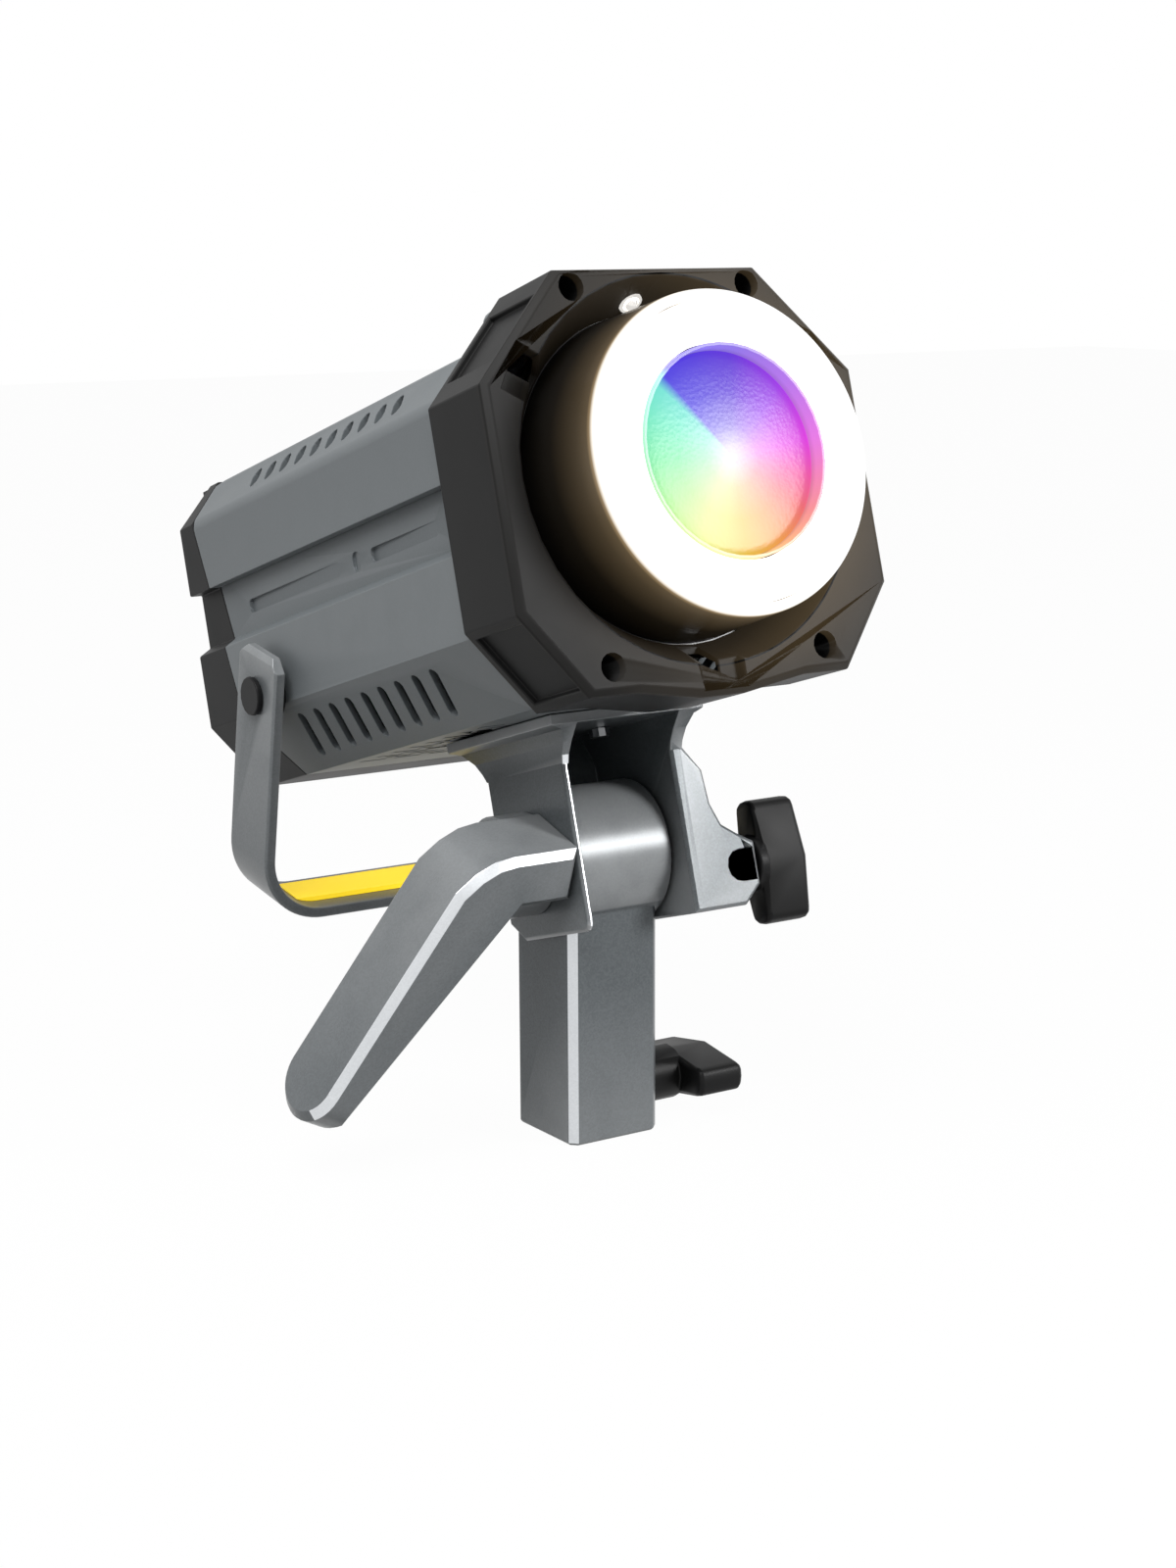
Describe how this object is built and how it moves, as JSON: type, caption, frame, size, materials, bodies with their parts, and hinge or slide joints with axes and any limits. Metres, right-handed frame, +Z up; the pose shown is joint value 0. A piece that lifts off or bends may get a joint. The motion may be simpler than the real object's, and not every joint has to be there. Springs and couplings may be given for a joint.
{
  "type": "led video light",
  "caption": "Compact LED video light with an octagonal case, glowing ring round its lens, tilting yoke on a square stand socket, tilt lever and folding carrying bail",
  "frame": {"origin": "centre of the post's bottom face, where the stand's stud enters the socket", "axes": "+Z up along the post, -Y the way the light points before it is tilted, +X along the tilt bolt to the knobs' side"},
  "size_m": [0.1627, 0.2378, 0.2515],
  "materials": {
    "case_grey": "satin slate grey paint",
    "cast_grey": "die-cast, metallic slate grey, bright along machined edges",
    "black_plastic": "fine matte charcoal black",
    "satin_black": "satin black moulding",
    "gloss_black": "smooth glossy black",
    "grip_yellow": "satin yellow sleeve",
    "diffuser": "translucent white, lit from behind",
    "lens": "clear front lens with a coloured sheen",
    "window": "dark display window",
    "chrome": "bright polished metal",
    "steel": "plain machined steel",
    "aluminium": "plain aluminium",
    "copper": "plain copper",
    "brass": "gilt contacts",
    "phosphor": "yellow phosphor",
    "board": "green circuit board",
    "rubber": "matte rubber"
  },
  "bodies": {
    "stand": {"stand_post": "cast_grey", "friction_disc_right": "rubber", "friction_disc_left": "rubber"},
    "stand_screw": {"stand_lock_screw": "steel"},
    "stand_knob": {"stand_lock_knob": "satin_black"},
    "head": {"yoke": "cast_grey", "saddle_screw_1": "steel", "saddle_screw_2": "steel", "tilt_bolt": "steel", "tilt_nut": "steel", "front_bezel": "black_plastic", "lock_ball_sleeve": "steel", "lock_ball_spring": "steel", "bezel_screw_1": "steel", "bezel_screw_2": "steel", "bezel_screw_3": "steel", "bezel_screw_4": "steel", "collar": "gloss_black", "glow_ring": "diffuser", "lens_barrel": "gloss_black", "front_lens": "lens", "reflector": "chrome", "phosphor_disc": "phosphor", "cob_plate": "aluminium", "cob_clamp": "satin_black", "heat_spreader": "copper", "heat_sink": "aluminium", "fan_frame": "satin_black", "upper_shell": "case_grey", "lower_shell": "case_grey", "rear_cap": "black_plastic", "rear_cap_screw_1": "steel", "rear_cap_screw_2": "steel", "rear_cap_screw_3": "steel", "rear_cap_screw_4": "steel", "rear_panel": "black_plastic", "display_window": "window", "display_module": "satin_black", "power_switch_frame": "black_plastic", "power_inlet": "steel", "inlet_pins": "brass", "usb_port": "steel", "control_board": "board", "driver_board": "board", "bail_bushing_right": "satin_black", "bail_bushing_left": "satin_black", "bail_screw_right": "satin_black", "bail_screw_left": "satin_black"},
    "lever": {"tilt_lever": "cast_grey"},
    "umbrella_screw": {"umbrella_lock_screw": "steel"},
    "umbrella_knob": {"umbrella_lock_knob": "satin_black"},
    "ball": {"lock_ball": "chrome"},
    "fan": {"fan_rotor": "black_plastic"},
    "carry_bail": {"bail": "cast_grey", "bail_grip": "grip_yellow"},
    "dial_left": {"intensity_dial": "satin_black"},
    "dial_right": {"colour_dial": "satin_black"},
    "button_left": {"mode_button": "rubber"},
    "button_right": {"channel_button": "rubber"},
    "rocker": {"power_switch_rocker": "satin_black"}
  },
  "joints": [
    {"name": "head_tilt", "type": "hinge", "parent": "stand", "child": "head", "pos_m": [0, 0, 0.0826], "axis": [1, 0, 0], "range_deg": [-33, 106]},
    {"name": "stand_screw_feed", "type": "slide", "parent": "stand", "child": "stand_screw", "axis": [1, 0, 0], "range_m": [0, 0.003]},
    {"name": "stand_knob_turn", "type": "hinge", "parent": "stand_screw", "child": "stand_knob", "pos_m": [0.03, 0, 0.012], "axis": [1, 0, 0], "range_deg": [0, 730]},
    {"name": "tilt_lever_turn", "type": "hinge", "parent": "head", "child": "lever", "pos_m": [-0.025, 0, 0.0826], "axis": [1, 0, 0], "range_deg": [0, 75]},
    {"name": "umbrella_screw_feed", "type": "slide", "parent": "head", "child": "umbrella_screw", "axis": [1, 0, 0], "range_m": [0, 0.003]},
    {"name": "umbrella_knob_turn", "type": "hinge", "parent": "umbrella_screw", "child": "umbrella_knob", "pos_m": [0.05, -0.02131, 0.0783], "axis": [1, 0, 0], "range_deg": [0, 730]},
    {"name": "lock_ball_press", "type": "slide", "parent": "head", "child": "ball", "axis": [-0.0764, 0.7209, 0.6888], "range_m": [0, 0.001], "stiffness_N_per_m": 1500},
    {"name": "fan_spin", "type": "hinge", "parent": "head", "child": "fan", "pos_m": [0, 0.06686, 0.1636], "axis": [0, 0.9585, -0.285], "continuous": true},
    {"name": "bail_swing", "type": "hinge", "parent": "head", "child": "carry_bail", "pos_m": [0, 0.08084, 0.12502], "axis": [1, 0, 0], "range_deg": [-21, 74]},
    {"name": "intensity_dial_turn", "type": "hinge", "parent": "head", "child": "dial_left", "pos_m": [-0.027, 0.13871, 0.13859], "axis": [0, 0.9585, -0.285], "continuous": true},
    {"name": "colour_dial_turn", "type": "hinge", "parent": "head", "child": "dial_right", "pos_m": [0.027, 0.13871, 0.13859], "axis": [0, 0.9585, -0.285], "continuous": true},
    {"name": "mode_button_press", "type": "slide", "parent": "head", "child": "button_left", "axis": [0, -0.9585, 0.285], "range_m": [0, 0.0008], "stiffness_N_per_m": 800},
    {"name": "channel_button_press", "type": "slide", "parent": "head", "child": "button_right", "axis": [0, -0.9585, 0.285], "range_m": [0, 0.0008], "stiffness_N_per_m": 800},
    {"name": "power_switch_turn", "type": "hinge", "parent": "head", "child": "rocker", "pos_m": [-0.03, 0.12765, 0.11684], "axis": [1, 0, 0], "range_deg": [-18, 0]}
  ],
  "couplings": [
    {"joint": "stand_knob_turn", "follows": "stand_screw_feed", "rad_per_m": 4188.8},
    {"joint": "umbrella_knob_turn", "follows": "umbrella_screw_feed", "rad_per_m": 4188.8}
  ]
}
